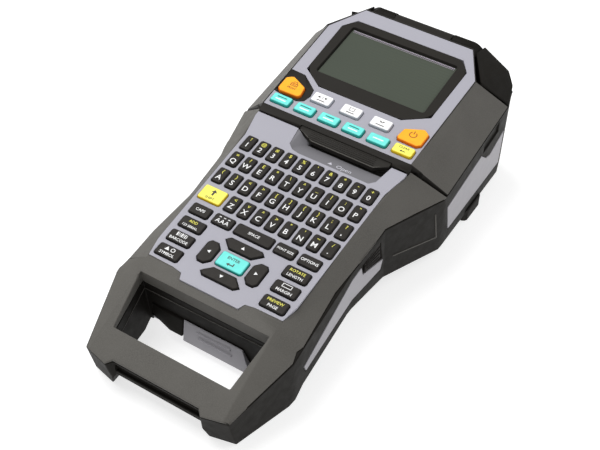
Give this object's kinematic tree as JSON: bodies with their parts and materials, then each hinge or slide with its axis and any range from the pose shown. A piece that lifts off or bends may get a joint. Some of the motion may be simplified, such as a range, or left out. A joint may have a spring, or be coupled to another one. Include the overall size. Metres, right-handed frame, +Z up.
{
  "type": "label maker",
  "caption": "Rugged handheld label printer with a full keyboard, a carry handle in the case and a flip-up display head over the tape bay.",
  "frame": {"origin": "on the table, under the middle of the object's bounding box", "axes": "+Z up from the table, +Y from the handle towards the display head, +X to the user's right; the keyboard deck is tilted 10 degrees up towards +Y"},
  "size_m": [0.133, 0.2884, 0.0876],
  "materials": {
    "dark_case": "fine texture",
    "black_plastic": "fine texture",
    "panel_grey": "satin",
    "strip_grey": "satin",
    "key_black": "matte silicone",
    "key_yellow": "matte silicone",
    "key_teal": "matte silicone",
    "key_orange": "matte silicone",
    "key_white": "matte silicone",
    "foot_rubber": "soft",
    "gloss_black": "gloss",
    "lcd_glass": "dark reflective display",
    "circuit_board": "solder mask",
    "cartridge_plastic": "satin",
    "label_tape": "paper-like",
    "gear_plastic": "acetal",
    "steel": "brushed"
  },
  "bodies": {
    "case": {"upper_case": "dark_case", "lower_case": "black_plastic", "deck_panel": "panel_grey", "head_trims": "strip_grey", "waist_trims": "strip_grey", "rear_feet": "foot_rubber", "battery_pack": "black_plastic", "main_board": "circuit_board", "key_mat": "key_black", "case_screws": "steel", "hinge_pin": "steel", "tape_cartridge": "cartridge_plastic", "feed_motor": "steel"},
    "lid": {"lid_shell": "dark_case", "lid_panel": "panel_grey", "screen_bezel": "gloss_black", "lcd_module": "lcd_glass", "lid_board": "circuit_board"},
    "latch": {"lid_latch": "black_plastic"},
    "battery_door": {"battery_cover": "strip_grey"},
    "port_flap": {"port_cover": "foot_rubber"},
    "tape_roll": {"tape_spool": "label_tape"},
    "ribbon_roll": {"ribbon_spool": "black_plastic"},
    "platen": {"platen_roller": "foot_rubber"},
    "thermal_head": {"print_head": "steel"},
    "pinion": {"motor_pinion": "steel"},
    "drive": {"drive_gear": "gear_plastic"},
    "cutter": {"cutter_blade": "steel"},
    "number_keys": {"number_keys": "key_black"},
    "qwerty_keys": {"qwerty_keys": "key_black"},
    "asdf_keys": {"asdf_keys": "key_black"},
    "zxcv_keys": {"zxcv_keys": "key_black"},
    "shift_key": {"shift_key": "key_yellow"},
    "caps_key": {"caps_key": "key_black"},
    "accent_key": {"accent_key": "key_black"},
    "space_key": {"space_key": "key_black"},
    "font_size_key": {"font_size_key": "key_black"},
    "text_options_key": {"text_options_key": "key_black"},
    "serial_key": {"serial_key": "key_black"},
    "barcode_key": {"barcode_key": "key_black"},
    "symbol_key": {"symbol_key": "key_black"},
    "length_key": {"length_key": "key_black"},
    "margin_key": {"margin_key": "key_black"},
    "page_key": {"page_key": "key_black"},
    "enter_key": {"enter_key": "key_teal"},
    "up_key": {"up_key": "key_black"},
    "down_key": {"down_key": "key_black"},
    "left_key": {"left_key": "key_black"},
    "right_key": {"right_key": "key_black"},
    "print_key": {"print_key": "key_orange"},
    "power_key": {"power_key": "key_orange"},
    "clear_key": {"clear_key": "key_yellow"},
    "mode_key_1": {"mode_key_1": "key_teal"},
    "mode_key_2": {"mode_key_2": "key_teal"},
    "mode_key_3": {"mode_key_3": "key_teal"},
    "mode_key_4": {"mode_key_4": "key_teal"},
    "mode_key_5": {"mode_key_5": "key_teal"},
    "menu_key_1": {"menu_key_1": "key_white"},
    "menu_key_2": {"menu_key_2": "key_white"},
    "menu_key_3": {"menu_key_3": "key_white"}
  },
  "joints": [
    {"name": "lid_hinge", "type": "hinge", "parent": "case", "child": "lid", "pos_m": [0, 0.12628, 0.08147], "axis": [-1, 0, 0], "range_deg": [0, 75]},
    {"name": "latch_lift", "type": "hinge", "parent": "lid", "child": "latch", "pos_m": [0.0085, 0.01942, 0.06669], "axis": [-1, 0, 0], "range_deg": [0, 6], "stiffness_Nm_per_rad": 0.05},
    {"name": "battery_door_slide", "type": "slide", "parent": "case", "child": "battery_door", "axis": [0, -0.9848, -0.1736], "range_m": [0, 0.012]},
    {"name": "port_flap_hinge", "type": "hinge", "parent": "case", "child": "port_flap", "pos_m": [0.0512, -0.03172, 0.03939], "axis": [0, 0.1736, -0.9848], "range_deg": [0, 100]},
    {"name": "drive_gear_spin", "type": "hinge", "parent": "case", "child": "drive", "pos_m": [-0.04, 0.09189, 0.01448], "axis": [0, -0.1736, 0.9848], "continuous": true},
    {"name": "platen_spin", "type": "hinge", "parent": "case", "child": "platen", "pos_m": [-0.04, 0.06475, 0.01579], "axis": [0, -0.1736, 0.9848], "continuous": true},
    {"name": "motor_spin", "type": "hinge", "parent": "case", "child": "pinion", "pos_m": [-0.04, 0.11399, 0.02447], "axis": [0, -0.1736, 0.9848], "continuous": true},
    {"name": "tape_roll_spin", "type": "hinge", "parent": "case", "child": "tape_roll", "pos_m": [0.0205, 0.07999, 0.03878], "axis": [0, -0.1736, 0.9848], "continuous": true},
    {"name": "ribbon_roll_spin", "type": "hinge", "parent": "case", "child": "ribbon_roll", "pos_m": [-0.012, 0.09673, 0.04173], "axis": [0, -0.1736, 0.9848], "continuous": true},
    {"name": "thermal_head_swing", "type": "hinge", "parent": "case", "child": "thermal_head", "pos_m": [-0.0275, 0.07171, 0.03732], "axis": [0, 0.1736, -0.9848], "range_deg": [0, 6], "stiffness_Nm_per_rad": 0.1},
    {"name": "cutter_stroke", "type": "slide", "parent": "case", "child": "cutter", "axis": [0, -0.9848, -0.1736], "range_m": [0, 0.008]},
    {"name": "number_keys_press", "type": "slide", "parent": "case", "child": "number_keys", "axis": [0, 0.1736, -0.9848], "range_m": [0, 0.0012], "stiffness_N_per_m": 400},
    {"name": "qwerty_keys_press", "type": "slide", "parent": "case", "child": "qwerty_keys", "axis": [0, 0.1736, -0.9848], "range_m": [0, 0.0012], "stiffness_N_per_m": 400},
    {"name": "asdf_keys_press", "type": "slide", "parent": "case", "child": "asdf_keys", "axis": [0, 0.1736, -0.9848], "range_m": [0, 0.0012], "stiffness_N_per_m": 400},
    {"name": "zxcv_keys_press", "type": "slide", "parent": "case", "child": "zxcv_keys", "axis": [0, 0.1736, -0.9848], "range_m": [0, 0.0012], "stiffness_N_per_m": 400},
    {"name": "shift_key_press", "type": "slide", "parent": "case", "child": "shift_key", "axis": [0, 0.1736, -0.9848], "range_m": [0, 0.0012], "stiffness_N_per_m": 400},
    {"name": "caps_key_press", "type": "slide", "parent": "case", "child": "caps_key", "axis": [0, 0.1736, -0.9848], "range_m": [0, 0.0012], "stiffness_N_per_m": 400},
    {"name": "accent_key_press", "type": "slide", "parent": "case", "child": "accent_key", "axis": [0, 0.1736, -0.9848], "range_m": [0, 0.0012], "stiffness_N_per_m": 400},
    {"name": "space_key_press", "type": "slide", "parent": "case", "child": "space_key", "axis": [0, 0.1736, -0.9848], "range_m": [0, 0.0012], "stiffness_N_per_m": 400},
    {"name": "font_size_key_press", "type": "slide", "parent": "case", "child": "font_size_key", "axis": [0, 0.1736, -0.9848], "range_m": [0, 0.0012], "stiffness_N_per_m": 400},
    {"name": "text_options_key_press", "type": "slide", "parent": "case", "child": "text_options_key", "axis": [0, 0.1736, -0.9848], "range_m": [0, 0.0012], "stiffness_N_per_m": 400},
    {"name": "serial_key_press", "type": "slide", "parent": "case", "child": "serial_key", "axis": [0, 0.1736, -0.9848], "range_m": [0, 0.0012], "stiffness_N_per_m": 400},
    {"name": "barcode_key_press", "type": "slide", "parent": "case", "child": "barcode_key", "axis": [0, 0.1736, -0.9848], "range_m": [0, 0.0012], "stiffness_N_per_m": 400},
    {"name": "symbol_key_press", "type": "slide", "parent": "case", "child": "symbol_key", "axis": [0, 0.1736, -0.9848], "range_m": [0, 0.0012], "stiffness_N_per_m": 400},
    {"name": "length_key_press", "type": "slide", "parent": "case", "child": "length_key", "axis": [0, 0.1736, -0.9848], "range_m": [0, 0.0012], "stiffness_N_per_m": 400},
    {"name": "margin_key_press", "type": "slide", "parent": "case", "child": "margin_key", "axis": [0, 0.1736, -0.9848], "range_m": [0, 0.0012], "stiffness_N_per_m": 400},
    {"name": "page_key_press", "type": "slide", "parent": "case", "child": "page_key", "axis": [0, 0.1736, -0.9848], "range_m": [0, 0.0012], "stiffness_N_per_m": 400},
    {"name": "enter_key_press", "type": "slide", "parent": "case", "child": "enter_key", "axis": [0, 0.1736, -0.9848], "range_m": [0, 0.0012], "stiffness_N_per_m": 400},
    {"name": "up_key_press", "type": "slide", "parent": "case", "child": "up_key", "axis": [0, 0.1736, -0.9848], "range_m": [0, 0.0012], "stiffness_N_per_m": 400},
    {"name": "down_key_press", "type": "slide", "parent": "case", "child": "down_key", "axis": [0, 0.1736, -0.9848], "range_m": [0, 0.0012], "stiffness_N_per_m": 400},
    {"name": "left_key_press", "type": "slide", "parent": "case", "child": "left_key", "axis": [0, 0.1736, -0.9848], "range_m": [0, 0.0012], "stiffness_N_per_m": 400},
    {"name": "right_key_press", "type": "slide", "parent": "case", "child": "right_key", "axis": [0, 0.1736, -0.9848], "range_m": [0, 0.0012], "stiffness_N_per_m": 400},
    {"name": "print_key_press", "type": "slide", "parent": "lid", "child": "print_key", "axis": [0, 0.1736, -0.9848], "range_m": [0, 0.001], "stiffness_N_per_m": 400},
    {"name": "power_key_press", "type": "slide", "parent": "lid", "child": "power_key", "axis": [0, 0.1736, -0.9848], "range_m": [0, 0.001], "stiffness_N_per_m": 400},
    {"name": "clear_key_press", "type": "slide", "parent": "lid", "child": "clear_key", "axis": [0, 0.1736, -0.9848], "range_m": [0, 0.001], "stiffness_N_per_m": 400},
    {"name": "mode_key_1_press", "type": "slide", "parent": "lid", "child": "mode_key_1", "axis": [0, 0.1736, -0.9848], "range_m": [0, 0.001], "stiffness_N_per_m": 400},
    {"name": "mode_key_2_press", "type": "slide", "parent": "lid", "child": "mode_key_2", "axis": [0, 0.1736, -0.9848], "range_m": [0, 0.001], "stiffness_N_per_m": 400},
    {"name": "mode_key_3_press", "type": "slide", "parent": "lid", "child": "mode_key_3", "axis": [0, 0.1736, -0.9848], "range_m": [0, 0.001], "stiffness_N_per_m": 400},
    {"name": "mode_key_4_press", "type": "slide", "parent": "lid", "child": "mode_key_4", "axis": [0, 0.1736, -0.9848], "range_m": [0, 0.001], "stiffness_N_per_m": 400},
    {"name": "mode_key_5_press", "type": "slide", "parent": "lid", "child": "mode_key_5", "axis": [0, 0.1736, -0.9848], "range_m": [0, 0.001], "stiffness_N_per_m": 400},
    {"name": "menu_key_1_press", "type": "slide", "parent": "lid", "child": "menu_key_1", "axis": [0, 0.1736, -0.9848], "range_m": [0, 0.001], "stiffness_N_per_m": 400},
    {"name": "menu_key_2_press", "type": "slide", "parent": "lid", "child": "menu_key_2", "axis": [0, 0.1736, -0.9848], "range_m": [0, 0.001], "stiffness_N_per_m": 400},
    {"name": "menu_key_3_press", "type": "slide", "parent": "lid", "child": "menu_key_3", "axis": [0, 0.1736, -0.9848], "range_m": [0, 0.001], "stiffness_N_per_m": 400}
  ],
  "couplings": [
    {"joint": "platen_spin", "follows": "drive_gear_spin", "ratio": -2.3125},
    {"joint": "motor_spin", "follows": "drive_gear_spin", "ratio": -3.7},
    {"joint": "tape_roll_spin", "follows": "drive_gear_spin", "ratio": 0.5506},
    {"joint": "ribbon_roll_spin", "follows": "drive_gear_spin", "ratio": 1.3603}
  ]
}
